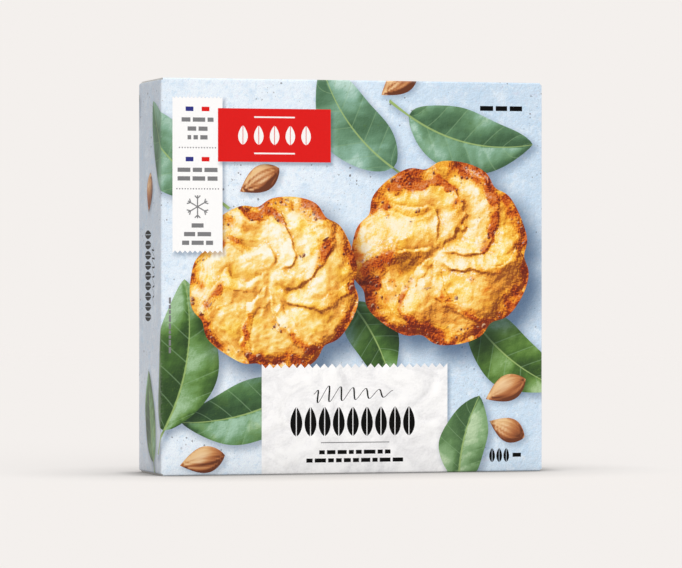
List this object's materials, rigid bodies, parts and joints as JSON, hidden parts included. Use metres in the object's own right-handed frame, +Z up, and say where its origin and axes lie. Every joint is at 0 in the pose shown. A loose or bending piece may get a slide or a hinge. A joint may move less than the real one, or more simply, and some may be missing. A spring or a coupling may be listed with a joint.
{
  "type": "frozen pastry carton",
  "caption": "Shut, nearly square folding carton of frozen pastries, standing on its narrow end, with creased edges and overlapping glued end flaps.",
  "frame": {"origin": "middle of the carton's bottom end, on the surface that it stands on", "axes": "+Z up; the wide front panel faces -Y; +X is to the right as seen from the front"},
  "size_m": [0.195, 0.047, 0.193],
  "materials": {
    "printed_board": "coated board, printed pale blue, satin varnish"
  },
  "bodies": {
    "root": {"carton": "printed_board"}
  },
  "joints": []
}
